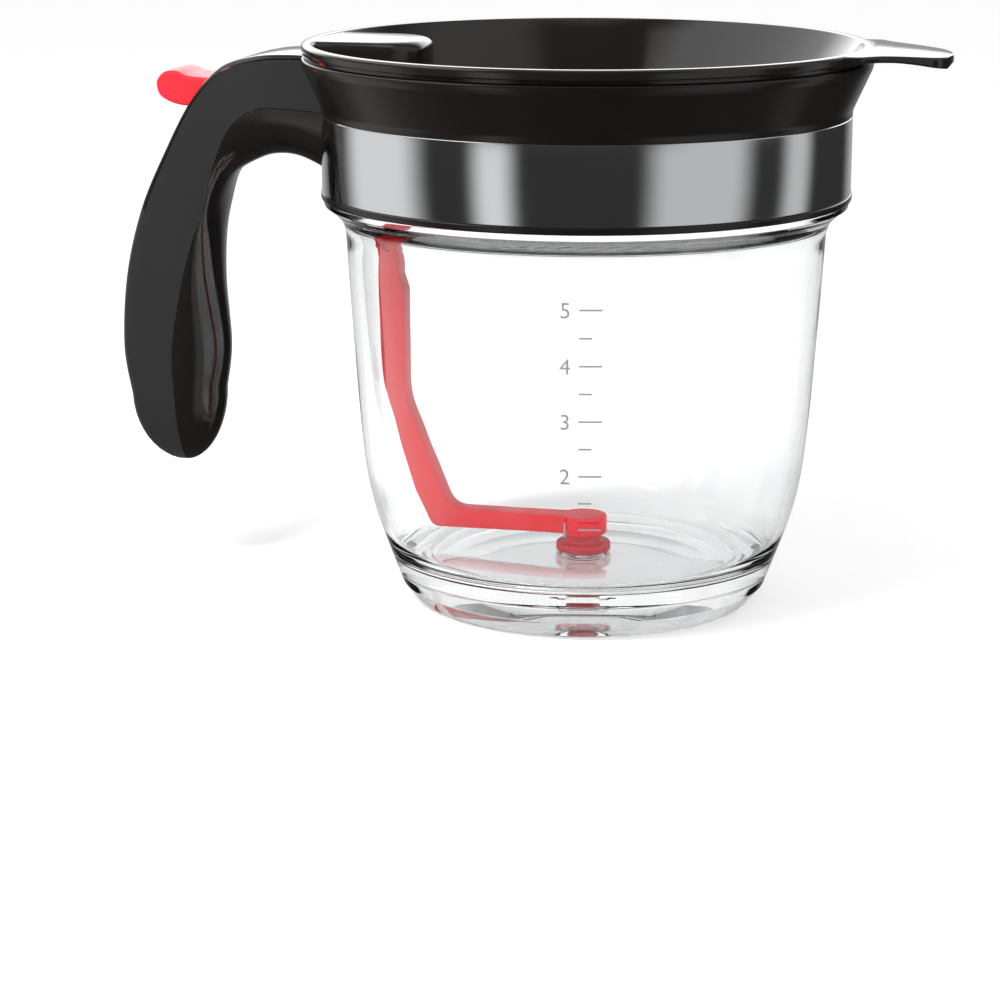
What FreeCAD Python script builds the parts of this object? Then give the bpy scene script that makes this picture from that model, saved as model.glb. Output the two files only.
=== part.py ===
import FreeCAD, Part
import math
import os

# Gravy fat separator: a clear jar with a bottom drain, a black collar with a handle on it,
# a red thumb trigger that lifts a stopper off the drain, and a lift-out strainer lid.
# Millimetres, +Z up, origin at the middle of the foot ring on the table.
# The handle lies towards -X and the lid's thumb tab towards +X.

V = FreeCAD.Vector

# Jar, outer radii and the heights where they are reached
foot_r = 46.4
foot_width = 4.0
skirt_r = 50.9
skirt_height = 5.2
low_r = 55.6
low_height = 18.0
bulge_r = 58.4
bulge_height = 27.0
belly_r = 60.7
belly_height = 38.5
waist_r = 63.4
waist_height = 69.6
shoulder_r = 65.5
shoulder_height = 103.0
jar_wall = 3.0
floor_height = 13.0
floor_thickness = 4.0
floor_corner = 7.0
flange_r = 71.3
flange_height = 110.4
flange_thickness = 1.7
neck_r = 66.4
neck_wall = 2.8
neck_length = 18.0
drain_r = 5.0
nozzle_wall = 1.8
nozzle_length = 8.0

# Seal on the neck and collar round it
seal_thickness = 1.5
collar_wall = 2.0
lip_r = 72.1
lip_height = 1.9
band_r = 71.8
band_thickness = 0.8
band_width = 20.8
flare_start = 1.6
rim_r = 77.0
flare_rise = 13.4
rim_round = 0.8
shelf_thickness = 2.0
shelf_r = 63.8
rib_thickness = 1.6
rib_count = 8
rib_gap = 0.1

# Handle: each station gives how far out from the collar and how far down from the handle's
# top the back and the inner face lie, then the half width and the depth of the side face
handle_top_drop = 0.2
handle_stations = (
    (-2.2, 0.4, -2.2, 34.2, 14.6, 14.6),
    (8.2, 0.0, 7.7, 29.3, 14.3, 14.3),
    (18.2, 0.7, 15.7, 28.6, 14.0, 13.8),
    (28.0, 3.9, 22.5, 30.9, 13.6, 15.6),
    (36.6, 13.0, 28.0, 34.6, 13.3, 17.5),
    (44.4, 26.9, 31.4, 41.3, 13.1, 17.0),
    (52.0, 43.5, 32.6, 49.8, 13.0, 16.5),
    (56.9, 62.3, 32.6, 64.8, 13.0, 16.0),
    (58.6, 82.6, 31.0, 83.6, 12.8, 14.0),
    (56.0, 100.1, 33.4, 98.6, 11.8, 11.5),
    (50.8, 111.0, 39.0, 110.2, 8.8, 6.8),
)
tip_length = 6.6
edge_round = 1.4
belly_strips = 5
belly_fullness = 0.8
handle_wall = 2.4
seam_below_crease = 0.5
spine_thickness = 1.3
spine_stations = 7
belly_core_width = 13.0
arch_core_width = 22.6
grip_core_width = 20.6
arch_stations = 5
core_stations = 9

# Screws that hold the handle to the collar
screw_r = 1.5
screw_length = 11.0
screw_head_r = 2.6
screw_head_height = 1.8
screw_rises = (10.5, 17.0)
screw_boss_r = 3.5
screw_hole_gap = 0.2

# Trigger lever: pivot, thumb paddle outside and a fork that reaches under the lid
pivot_out = 14.5
pivot_down = 8.6
pin_r = 1.5
pin_length = 26.0
running_gap = 0.05
pivot_boss_r = 4.6
pivot_boss_width = 21.0
paddle_width = 18.0
paddle_reach = 33.4
paddle_rise = 3.0
paddle_drop = 6.6
paddle_dip = 1.6
paddle_start = 14.0
paddle_hollow = 7.0
paddle_pad = 5.4
paddle_nose = 9.0
fork_arm = 31.0
fork_width = 5.8
fork_eye_r = 3.2
prong_thickness = 2.5
press_angle = 15.0
slot_gap = 0.5
slot_past_tip = 6.0

# Return spring under the lever
spring_back = 11.0
spring_r = 2.9
wire_r = 0.4
spring_turns = 5
coil_steps = 12
spring_seat_drop = 18.0
spring_seat_r = 4.0
spring_nub_r = 1.9
spring_nub_height = 3.0
spring_gap = 0.15
spring_land_drop = 3.5

# Lift arm inside the jar and the stopper over the drain
link_pin_r = 1.3
link_slot_gap = 0.1
link_pin_length = 14.4
pin_proud = 0.4
arm_thickness = 7.0
arm_head_r = 4.2
column_width = 6.4
column_lead = 0.6
arm_shoulder_height = 88.0
arm_side_gap = 1.4
arm_bend_height = 58.0
arm_step = 1.6
arm_bend_reach = 1.6
arm_foot_gap = 3.0
arm_heel = 6.4
arm_fillet = 4.0
recess_edge = 2.0
recess_start = 7.0
arm_foot_height = 4.5
arm_foot_depth = 5.0
arm_hub_r = 6.5
guide_width = 17.0
guide_reach = 2.6
guide_thickness = 1.5
guide_gap = 0.4
stopper_r = 7.6
stopper_rim = 2.0
stopper_neck_r = 5.0
plug_gap = 0.4
plug_length = 3.6
seat_gap = 0.2
rivet_r = 2.0
rivet_head_r = 3.0
rivet_head_height = 1.0

# Strainer lid
lid_gap = 0.1
lid_height = 3.9
lid_bead_height = 2.7
lid_bead_width = 2.8
lid_bead_round = 0.8
lid_step = 1.2
lid_wall = 2.0
lid_flare_gap = 0.8
lid_neck_gap = 1.2
lid_below_shelf = 11.7
lid_floor_r = 53.5
lid_floor_chamfer = 4.0
hole_r = 1.5
hole_pitch = 6.4
hole_rings = 4
tongue_past_link = 11.3
tongue_half_width = 16.0
tongue_round = 9.0
tongue_thickness = 2.4
tongue_drop = 0.6
tab_length = 21.2
tab_half_width = 24.0
tab_tip_half_width = 12.0
tab_thickness = 1.8
tab_tip_thickness = 3.3
tab_droop = 1.3
tab_sink = 0.2
tab_knee = 0.42
tab_nose = 2.2

# Places that follow from the sizes above
foot_inner_r = foot_r - foot_width
recess_height = floor_height - floor_thickness
nozzle_end = floor_height - nozzle_length
flange_top = flange_height + flange_thickness
neck_top = flange_top + neck_length
mouth_r = neck_r - neck_wall
shelf_low = neck_top + seal_thickness
shelf_top = shelf_low + shelf_thickness
band_low = flange_top + lip_height
band_high = band_low + band_width
screw_heights = [band_low + rise for rise in screw_rises]
band_seat_r = band_r - band_thickness
collar_bore_r = band_seat_r - collar_wall
flare_low = band_high + flare_start
rim_height = flare_low + flare_rise
handle_top = rim_height - handle_top_drop
pivot = V(-band_r - pivot_out, 0, handle_top - pivot_down)
half_press = math.radians(press_angle) / 2
link = V(pivot.x + fork_arm, 0, pivot.z - fork_arm * math.tan(half_press))
lift = 2 * fork_arm * math.tan(half_press)
lid_seat = rim_height + lid_gap
lid_top = rim_height + lid_height
column_left = link.x - column_lead - column_width / 2
column_right = column_left + column_width
arm_foot_low = floor_height + arm_foot_height
arm_foot_top = arm_foot_low + arm_foot_depth


def arc(middle, end):
    return ("arc", middle, end)


def outline(start, *moves):
    """Closed wire in the XZ plane from straight lines and arcs."""
    def place(p):
        return V(p[0], 0, p[1])

    edges = []
    here = start
    for move in moves + (start,):
        if move[0] == "arc":
            edges.append(Part.Arc(place(here), place(move[1]), place(move[2])).toShape())
            here = move[2]
        elif math.dist(here, move) > 1e-6:
            edges.append(Part.makeLine(place(here), place(move)))
            here = move
    return Part.Wire(edges)


def turned(start, *moves):
    """Solid of revolution about Z from an outline given as (radius, height)."""
    return Part.Face(outline(start, *moves)).revolve(V(0, 0, 0), V(0, 0, 1), 360)


def slab(wire, half_width):
    """Solid from an XZ outline, equally thick on both sides of the middle plane."""
    body = Part.Face(wire).extrude(V(0, 2 * half_width, 0))
    body.translate(V(0, -half_width, 0))
    return body


def block(low_x, high_x, half_y, low_z, high_z):
    return Part.makeBox(high_x - low_x, 2 * half_y, high_z - low_z, V(low_x, -half_y, low_z))


def rod(radius, start, end):
    along = end - start
    return Part.makeCylinder(radius, along.Length, start, along)


def ring(inner_r, outer_r, low, high):
    return turned((inner_r, low), (outer_r, low), (outer_r, high), (inner_r, high))


def cross_rod(radius, centre, length):
    """Round bar across the handle, centred on the middle plane."""
    return rod(radius, V(centre.x, -length / 2, centre.z), V(centre.x, length / 2, centre.z))


def jar():
    """Clear jar: skirted base with a drain nozzle, flared side, flange and neck."""
    return turned(
        (foot_inner_r, 0),
        (foot_r, 0),
        (skirt_r, skirt_height),
        (low_r, low_height),
        (bulge_r, bulge_height),
        (belly_r, belly_height),
        (waist_r, waist_height),
        (shoulder_r, shoulder_height),
        ((2 * shoulder_r + flange_r) / 3, (shoulder_height + flange_height) / 2),
        (flange_r, flange_height),
        (flange_r, flange_top),
        (neck_r, flange_top),
        (neck_r, neck_top),
        (mouth_r, neck_top),
        (mouth_r, shoulder_height + jar_wall),
        (belly_r - jar_wall, belly_height),
        (low_r - jar_wall, low_height),
        (low_r - jar_wall - floor_corner / 2, floor_height),
        (drain_r, floor_height),
        (drain_r, nozzle_end),
        (drain_r + nozzle_wall, nozzle_end),
        (drain_r + nozzle_wall, recess_height),
        (foot_inner_r, recess_height),
    )


def jar_seal():
    """Soft ring between the neck's top edge and the collar's shelf."""
    return ring(mouth_r, neck_r, neck_top, shelf_low)


def screw_cuts(radius, low_x, high_x):
    cuts = [rod(radius, V(low_x, 0, z), V(high_x, 0, z)) for z in screw_heights]
    return Part.makeCompound(cuts)


def collar():
    """Black collar: band seat, flared mouth with a bead, shelf, ribs and arm guide."""
    inner_rim_r = rim_r - collar_wall
    body = turned(
        (collar_bore_r, flange_top),
        (lip_r, flange_top),
        (lip_r, band_low),
        (band_seat_r, band_low),
        (band_seat_r, band_high),
        (band_r, band_high),
        (band_r, flare_low),
        (rim_r, rim_height - 2 * rim_round),
        (rim_r, rim_height),
        (inner_rim_r, rim_height),
        (band_r - collar_wall, shelf_top),
        (shelf_r, shelf_top),
        (shelf_r, shelf_low),
        (collar_bore_r, shelf_low),
    )
    rib = block(neck_r + rib_gap, collar_bore_r + collar_wall / 2, rib_thickness / 2,
                flange_top, shelf_low + shelf_thickness / 2)
    for turn in range(rib_count):
        copy = rib.copy()
        copy.rotate(V(0, 0, 0), V(0, 0, 1), turn * 360 / rib_count)
        body = body.fuse(copy)
    guide = block(-shelf_r - collar_wall, column_right + guide_reach, guide_width / 2,
                  shelf_low, shelf_low + guide_thickness)
    body = body.fuse(guide)
    body = body.cut(block(column_left - guide_gap, column_right + guide_gap,
                          arm_thickness / 2 + guide_gap, shelf_low - 1, shelf_top + 1))
    body = body.cut(fork_passage(0))
    seat = -collar_bore_r - screw_hole_gap
    body = body.cut(screw_cuts(screw_r + screw_hole_gap, -lip_r, -collar_bore_r + 1))
    body = body.cut(screw_cuts(screw_head_r + screw_hole_gap, seat, -neck_r - rib_gap))
    return body.removeSplitter()


def fork_passage(extra):
    """Opening for the trigger's fork, widening inwards with the fork's swing."""
    def half_height(x):
        return fork_eye_r + slot_gap + extra + (x - pivot.x) * math.tan(half_press)

    outer = pivot.x + pivot_boss_r
    wire = outline(
        (outer, pivot.z - half_height(outer)),
        (-shelf_r, pivot.z - half_height(-shelf_r)),
        (-shelf_r, pivot.z + half_height(-shelf_r)),
        (outer, pivot.z + half_height(outer)),
    )
    return slab(wire, link_pin_length / 2 + slot_gap + extra)


def chrome_band():
    """Bright metal band round the collar, with clearance holes for the screws."""
    band = ring(band_seat_r, band_r, band_low, band_high)
    return band.cut(screw_cuts(screw_r + screw_hole_gap, -lip_r - 1, -collar_bore_r))


def screws():
    """Two pan-head screws, driven from inside the collar into the handle."""
    under_head = -collar_bore_r - screw_hole_gap
    parts = []
    for z in screw_heights:
        head_end = under_head + screw_head_height
        head = rod(screw_head_r, V(head_end, 0, z), V(under_head, 0, z))
        slot = block(head_end - screw_head_height / 3, head_end, screw_r / 4,
                     z - screw_r, z + screw_r)
        cross = block(head_end - screw_head_height / 3, head_end, screw_r,
                      z - screw_r / 4, z + screw_r / 4)
        shank = rod(screw_r, V(under_head, 0, z), V(under_head - screw_length, 0, z))
        parts.append(head.fuse(shank).cut(slot).cut(cross))
    return Part.makeCompound(parts)


def station_ends(station):
    back_out, back_down, front_out, front_down = station[:4]
    back = V(-band_r - back_out, 0, handle_top - back_down)
    front = V(-band_r - front_out, 0, handle_top - front_down)
    return back, front


def handle_sections():
    """Every cross-section of the handle as (back, inward direction, depth, width, side)."""
    rows = []
    for station in handle_stations:
        back, front = station_ends(station)
        inward = front - back
        depth = inward.Length
        inward.normalize()
        rows.append((back, inward, depth, station[4], station[5]))
    back, inward, depth, width, side = rows[-1]
    onward = V(0, 1, 0).cross(inward)
    if onward.z > 0:
        onward = onward * -1
    middle = back + inward * (depth / 2)
    for step in (0.5, 0.8, 0.96):
        shrink = math.sqrt(1 - step * step)
        centre = middle + onward * (tip_length * step)
        rows.append((centre - inward * (depth * shrink / 2), inward, depth * shrink,
                     width * shrink, side * shrink))
    return rows


def grip_ring(row):
    """Section outline: flat back, chamfered edges, flat sides, then a full belly."""
    back, inward, depth, width, side = row
    edge = min(edge_round, width / 4, side / 4)

    def at(u, v):
        return back + inward * u + V(0, v, 0)

    corners = [at(0, edge - width), at(0, width - edge), at(edge, width), at(side, width)]
    for strip in range(1, belly_strips):
        turn = math.pi * strip / belly_strips
        corners.append(at(side + (depth - side) * math.sin(turn) ** belly_fullness,
                          width * math.cos(turn)))
    corners += [at(side, -width), at(edge, -width)]
    return Part.makePolygon(corners + corners[:1])


def grip_slice(row, start, end):
    """Flat four-cornered section that spans the handle between two depths."""
    back, inward, depth, width, side = row
    reach = V(0, width + handle_wall, 0)
    near = back + inward * start
    far = back + inward * end
    return Part.makePolygon([near - reach, near + reach, far + reach, far - reach,
                             near - reach])


def core_slab(rows, half_width, starts, ends):
    """Flat-walled core between two depths, following the stations in the middle plane."""
    back_line = [row[0] + row[1] * start for row, start in zip(rows, starts)]
    front_line = [row[0] + row[1] * end for row, end in zip(rows, ends)]
    corners = [(p.x, p.z) for p in back_line + front_line[::-1]]
    return slab(outline(*corners), half_width)


def handle_core(rows):
    """Hollow of the handle: wide where the lever swings, narrower down the grip and belly."""
    inset = spine_thickness + handle_wall
    arch = rows[:arch_stations]
    grip = rows[arch_stations - 1:core_stations]
    both = rows[:core_stations]
    core = core_slab(arch, arch_core_width / 2, [inset] * len(arch), [r[4] for r in arch])
    core = core.fuse(core_slab(grip, grip_core_width / 2, [inset] * len(grip),
                               [r[4] for r in grip]))
    core = core.fuse(core_slab(both, belly_core_width / 2, [r[4] - 1 for r in both],
                               [r[2] - handle_wall for r in both]))
    return core.cut(block(-band_r - handle_wall, 0, rim_r, 0, pivot.z - pivot_boss_r - 2))


def handle_parts():
    """Handle shells: glossy inner frame, matte grip cover and thin glossy top cover."""
    rows = handle_sections()
    whole = Part.makeLoft([grip_ring(row) for row in rows], True, True)
    hollow = handle_core(rows)
    lower = Part.makeLoft([grip_slice(row, row[4] + seam_below_crease, row[2] + handle_wall)
                           for row in rows], True, True)
    spine = Part.makeLoft([grip_slice(row, -2 * handle_wall, spine_thickness)
                           for row in rows[:spine_stations]], True, True)
    seated = whole.cut(collar_envelope())

    frame = seated.common(lower)
    frame = frame.cut(hollow)
    bosses = screw_cuts(screw_boss_r, -band_r - screw_length, -band_r - handle_wall)
    bosses = bosses.common(lower).common(seated)
    frame = frame.fuse(bosses)
    spring_foot = V(pivot.x - spring_back, 0, pivot.z - spring_seat_drop)
    seat = rod(spring_seat_r, spring_foot, spring_foot - V(0, 0, spring_seat_drop / 3))
    frame = frame.fuse(seat.common(seated))
    frame = frame.fuse(rod(spring_nub_r, spring_foot, spring_foot + V(0, 0, spring_nub_height)))
    frame = frame.cut(screw_cuts(screw_r, -band_r - screw_length, -band_r + 2))
    frame = frame.cut(fork_passage(slot_gap))

    top = seated.common(spine).cut(trigger_slot())
    cover = seated.cut(lower).cut(spine).cut(hollow).cut(lever_room())
    post = cross_rod(pivot_boss_r - pin_r / 2, pivot, 2 * handle_stations[1][4] - handle_wall)
    clear = cross_rod(2 * pivot_boss_r, pivot, pivot_boss_width + slot_gap)
    cover = cover.fuse(post.cut(clear).common(seated))
    cover = cover.cut(cross_rod(pin_r, pivot, pin_length))
    cover = cover.cut(trigger_slot()).cut(fork_passage(slot_gap))
    return frame, cover, top


def collar_envelope():
    """Space inside the collar's outer face, which the handle seats on."""
    return turned(
        (0, 0), (band_r, 0), (band_r, flare_low),
        (rim_r, rim_height - 2 * rim_round), (rim_r, lid_top), (0, lid_top),
    )


def lever_room():
    """Space inside the handle where the lever's boss and shank swing."""
    wire = outline(
        (pivot.x + pivot_boss_r, pivot.z + pivot_boss_r + slot_gap),
        (pivot.x - pivot_boss_r, pivot.z + pivot_boss_r + slot_gap),
        (pivot.x - paddle_start, pivot.z + paddle_rise + slot_gap),
        (pivot.x - paddle_start, pivot.z - paddle_drop),
        (pivot.x + pivot_boss_r, pivot.z - paddle_drop),
    )
    return slab(wire, (pivot_boss_width + slot_gap) / 2)


def trigger_slot():
    """Cut through the handle's back that the lever and its thumb paddle swing in."""
    high = pivot.z + paddle_rise + slot_gap
    low = pivot.z - paddle_drop - paddle_reach * math.sin(math.radians(press_angle))
    outer = pivot.x - paddle_reach - slot_past_tip
    inner = pivot.x - paddle_start + slot_gap
    wire = outline((inner, high), (outer, high + slot_past_tip), (outer, low), (inner, low))
    return slab(wire, paddle_width / 2 + slot_gap)


def trigger():
    """Red lever: thumb paddle, pivot boss and a two-pronged fork with slotted eyes."""
    top = pivot.z + paddle_rise
    dip = top - paddle_dip
    under = pivot.z - paddle_drop
    tip = pivot.x - paddle_reach
    land = pivot.z - spring_land_drop
    lever = slab(outline(
        (pivot.x, pivot.z + pivot_boss_r - 1),
        (pivot.x - paddle_start, dip),
        (pivot.x - paddle_start - paddle_hollow, dip),
        arc((tip + paddle_pad + 3, top - 1), (tip + paddle_pad, top)),
        arc((tip + 2, top - 0.3), (tip + 0.4, top - 2.2)),
        (tip, (top + under) / 2 + 1),
        arc((tip + 3.4, under + 1.2), (tip + paddle_nose, under)),
        (pivot.x - spring_back - spring_r - 4, under),
        (pivot.x - spring_back - spring_r - 1, land),
        (pivot.x, land),
    ), paddle_width / 2)
    body = lever.fuse(cross_rod(pivot_boss_r, pivot, pivot_boss_width))
    for side in (-1, 1):
        prong = fork_prong(prong_thickness)
        prong.translate(V(0, side * (link_pin_length - prong_thickness) / 2 - side * pin_proud, 0))
        body = body.fuse(prong)
    return body.cut(cross_rod(pin_r + running_gap, pivot, 2 * pivot_boss_width))


def fork_prong(thickness):
    """One prong: a tapered bar with a slotted eye that the link pin slides in."""
    along = V(link.x - pivot.x, 0, link.z - pivot.z)
    length = along.Length
    bar = slab(outline(
        (0, -fork_width / 2),
        (length, -fork_eye_r),
        arc((length + fork_eye_r, 0), (length, fork_eye_r)),
        (0, fork_width / 2),
    ), thickness / 2)
    half = link_pin_r + link_slot_gap
    bar = bar.cut(slab(outline(
        (length - 1, -half),
        (length + 1, -half),
        arc((length + 1 + half, 0), (length + 1, half)),
        (length - 1, half),
        arc((length - 1 - half, 0), (length - 1, -half)),
    ), thickness))
    bar.rotate(V(0, 0, 0), V(0, 1, 0), math.degrees(half_press))
    bar.translate(pivot)
    return bar


def return_spring():
    """Open coil between the frame's seat and the lever's flat, one unbroken wire."""
    low = pivot.z - spring_seat_drop + wire_r
    high = pivot.z - spring_land_drop - spring_gap - wire_r
    pitch = (high - low) / spring_turns

    def wire_section(step):
        turn = 2 * math.pi * step / coil_steps
        outward = V(math.cos(turn), math.sin(turn), 0)
        centre = V(pivot.x - spring_back, 0, low + pitch * step / coil_steps) + outward * spring_r
        up = V(0, 0, wire_r)
        side = outward * wire_r
        return Part.makePolygon([centre + up, centre + side, centre - up, centre - side,
                                 centre + up])

    sections = [wire_section(step) for step in range(spring_turns * coil_steps + 1)]
    print("return spring: least gap between turns", round(pitch - 2 * wire_r, 2), "mm")
    return Part.makeLoft(sections, True, True)


def lift_arm():
    """Red arm: head in the fork, column down the wall, foot along the floor to a hub."""
    wall_at_foot = low_r - jar_wall - arm_side_gap - arm_foot_gap
    wall_at_bend = belly_r - jar_wall - arm_side_gap + arm_bend_reach
    neck_top_z = link.z - arm_head_r / 2
    inner_right = column_right + arm_step
    heel = -wall_at_foot + arm_heel
    body = slab(outline(
        (column_left, neck_top_z),
        (column_left, arm_shoulder_height),
        (-wall_at_bend, arm_bend_height),
        (-wall_at_foot, arm_foot_top + arm_foot_depth),
        (-wall_at_foot + arm_foot_depth, arm_foot_low),
        (0, arm_foot_low),
        (0, arm_foot_top),
        (heel + arm_fillet, arm_foot_top),
        arc((heel + arm_fillet / 4, arm_foot_top + arm_fillet / 4), (heel, arm_foot_top + arm_fillet)),
        (inner_right, arm_bend_height - arm_fillet),
        (inner_right, arm_shoulder_height - arm_fillet),
        (column_right, arm_shoulder_height),
        (column_right, neck_top_z),
        (link.x + arm_head_r * 0.7, link.z),
        (link.x - arm_head_r * 0.7, link.z),
    ), arm_thickness / 2)
    body = body.fuse(cross_rod(arm_head_r, link, arm_thickness))
    body = body.fuse(rod(arm_hub_r, V(0, 0, arm_foot_low), V(0, 0, arm_foot_top)))
    body = body.cut(cross_rod(link_pin_r, link, 2 * arm_thickness))
    body = body.cut(rod(rivet_r, V(0, 0, floor_height), V(0, 0, arm_foot_top - 1)))
    recess_depth = arm_thickness / 4
    recess = slab(outline(
        (column_left + recess_edge, arm_shoulder_height + recess_start),
        (column_right - recess_edge, arm_shoulder_height + recess_start),
        (column_right - recess_edge, shelf_low - lift - recess_start),
        (column_left + recess_edge, shelf_low - lift - recess_start),
    ), recess_depth / 2)
    for side in (-1, 1):
        pocket = recess.copy()
        pocket.translate(V(0, side * (arm_thickness - recess_depth) / 2, 0))
        body = body.cut(pocket)
    return body


def stopper():
    """Soft stopper: a flat seal rim with a short plug below and a collar above."""
    low = floor_height + seat_gap
    plug_r = drain_r - plug_gap
    body = turned(
        (0, low - plug_length),
        (plug_r, low - plug_length),
        (plug_r, low),
        (stopper_r, low),
        (stopper_r, low + stopper_rim),
        (stopper_neck_r, low + stopper_rim),
        (stopper_neck_r, arm_foot_low),
        (0, arm_foot_low),
    )
    body = body.cut(rod(rivet_r, V(0, 0, 0), V(0, 0, arm_foot_top)))
    return body.cut(rod(rivet_head_r, V(0, 0, 0), V(0, 0, low - plug_length + rivet_head_height)))


def stopper_rivet():
    """Push-in rivet that pins the stopper under the arm's hub."""
    low = floor_height + seat_gap - plug_length
    head = rod(rivet_head_r, V(0, 0, low), V(0, 0, low + rivet_head_height))
    return head.fuse(rod(rivet_r, V(0, 0, low), V(0, 0, arm_foot_top - 1)))


def lid_channel(inset, low, high):
    """Upright U-shaped block that reaches in from the rim over the lift arm."""
    half = tongue_half_width - inset
    inner = link.x + tongue_past_link - inset
    bend = min(tongue_round, half - 1)
    nick = bend * (1 - math.sqrt(0.5))

    def at(x, y):
        return V(x, y, low)

    outer = -rim_r - 2
    edges = [
        Part.makeLine(at(outer, half), at(inner - bend, half)),
        Part.Arc(at(inner - bend, half), at(inner - nick, half - nick),
                 at(inner, half - bend)).toShape(),
        Part.makeLine(at(inner, half - bend), at(inner, bend - half)),
        Part.Arc(at(inner, bend - half), at(inner - nick, nick - half),
                 at(inner - bend, -half)).toShape(),
        Part.makeLine(at(inner - bend, -half), at(outer, -half)),
        Part.makeLine(at(outer, -half), at(outer, half)),
    ]
    return Part.Face(Part.Wire(edges)).extrude(V(0, 0, high - low))


def lid_body_points(inset):
    """Bowl face from the rim down to the middle, moved in by the wall when inset."""
    rim_in = rim_r - collar_wall - rim_round - lid_flare_gap - inset
    neck_in = shelf_r - lid_neck_gap - inset
    low = shelf_low - lid_below_shelf + inset
    return (
        (rim_in, lid_seat),
        (neck_in, shelf_top + lid_flare_gap + inset / 2),
        (lid_floor_r + lid_floor_chamfer - inset, low + lid_floor_chamfer - inset / 2),
        (lid_floor_r, low),
        (0, low),
    )


def strainer_lid():
    """Lift-out strainer bowl: beaded rim, sieve holes, tongue over the arm, thumb tab."""
    outer = lid_body_points(0)
    inner = lid_body_points(lid_wall)
    bead_in = rim_r - lid_bead_width
    shell = turned(
        *outer[::-1],
        (rim_r - lid_step, lid_seat),
        (rim_r - lid_step, lid_top - lid_bead_height),
        (rim_r, lid_top - lid_bead_height),
        (rim_r, lid_top - lid_bead_round),
        (rim_r - lid_bead_round, lid_top),
        (bead_in, lid_top),
        *inner,
    )
    bowl = turned(
        *outer[::-1], (outer[0][0], lid_top), (0, lid_top),
    )
    low = outer[-1][1]
    tongue_top = lid_top - tongue_drop
    tongue = lid_channel(0, low, tongue_top)
    end_edges = [e for e in tongue.Edges if e.CenterOfMass.z > tongue_top - 0.01
                 and e.CenterOfMass.x > -rim_r + 1]
    tongue = tongue.makeFillet(tongue_thickness * 0.6, end_edges).common(bowl)
    body = shell.fuse(tongue)
    body = body.cut(lid_channel(lid_wall, low - 5, tongue_top - tongue_thickness))
    body = body.cut(sieve_holes(low - 1, inner[-1][1] + 1))
    return body.fuse(thumb_tab()).removeSplitter()


def sieve_holes(low, high):
    """Rings of six-sided holes through the flat middle of the bowl."""
    def hole(x, y):
        corners = [V(x + hole_r * math.cos(n * math.pi / 3), y + hole_r * math.sin(n * math.pi / 3),
                     low) for n in range(6)]
        wire = Part.makePolygon(corners + corners[:1])
        return Part.Face(wire).extrude(V(0, 0, high - low))

    holes = [hole(0, 0)]
    for ring_number in range(1, hole_rings + 1):
        count = 6 * ring_number
        for step in range(count):
            turn = 2 * math.pi * step / count
            reach = ring_number * hole_pitch
            holes.append(hole(reach * math.cos(turn), reach * math.sin(turn)))
    return Part.makeCompound(holes)


def thumb_tab():
    """Wide rounded tab opposite the handle; its edge thickens and droops to the tip."""
    tip = rim_r + tab_length
    middle = rim_r + tab_length / 2
    root = math.sqrt(rim_r ** 2 - tab_half_width ** 2) - 2 * lid_bead_width
    edge = rim_r - lid_bead_width / 2
    top = lid_top - tab_sink
    droop = lid_top - tab_droop
    side = slab(outline(
        (root, lid_top - tab_thickness),
        (root, top),
        (edge, top),
        (middle, lid_top - tab_droop / 3),
        (tip, droop),
        (tip, droop - tab_tip_thickness),
        (tip - tab_tip_thickness, droop - tab_tip_thickness),
        (middle, lid_top - tab_droop / 3 - tab_thickness),
        (edge, lid_top - tab_thickness),
    ), tab_half_width * 2)

    below = lid_top - 4 * tab_tip_thickness
    knee_x = rim_r + tab_length * tab_knee
    knee_y = (tab_half_width + tab_tip_half_width) / 2 + 1
    root_y = tab_half_width + lid_bead_width
    nose_x = tip - tab_nose
    nose_y = tab_tip_half_width * 0.6

    def at(x, y):
        return V(x, y, below)

    edges = [
        Part.makeLine(at(root, root_y), at(root, -root_y)),
        Part.Arc(at(nose_x, -nose_y), at(tip, 0), at(nose_x, nose_y)).toShape(),
    ]
    for sign in (1, -1):
        edges.append(Part.Arc(at(root, sign * root_y),
                              at(rim_r + 1, sign * (tab_half_width - 1.6)),
                              at(knee_x, sign * knee_y)).toShape())
        edges.append(Part.Arc(at(knee_x, sign * knee_y),
                              at(tip - 3 * tab_nose, sign * tab_tip_half_width),
                              at(nose_x, sign * nose_y)).toShape())
    height = V(0, 0, 2 * (lid_top - below))
    plan = Part.Face(Part.Wire(Part.__sortEdges__(edges))).extrude(height)
    inside = rod(edge, at(0, 0), at(0, 0) + height)
    return side.common(plan).cut(inside)


def write(shape, node):
    solids = shape.Solids
    shape = solids[0] if len(solids) == 1 else Part.makeCompound(solids)
    shape.exportStep("parts/" + node + ".step")
    print(node, "solids", len(solids), "volume", round(shape.Volume), "valid", shape.isValid())


os.makedirs("parts", exist_ok=True)
write(jar(), "jar")
write(jar_seal(), "jar_seal")
write(collar(), "collar")
write(chrome_band(), "chrome_band")
write(screws(), "handle_screws")
handle_frame, grip_cover, handle_top_cover = handle_parts()
write(handle_frame, "handle_frame")
write(grip_cover, "grip_cover")
write(handle_top_cover, "handle_top_cover")
write(trigger(), "trigger")
write(cross_rod(pin_r, pivot, pin_length), "trigger_pin")
write(return_spring(), "return_spring")
write(lift_arm(), "lift_arm")
write(cross_rod(link_pin_r, link, link_pin_length), "link_pin")
write(stopper(), "stopper")
write(stopper_rivet(), "stopper_rivet")
write(strainer_lid(), "strainer_lid")
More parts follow.
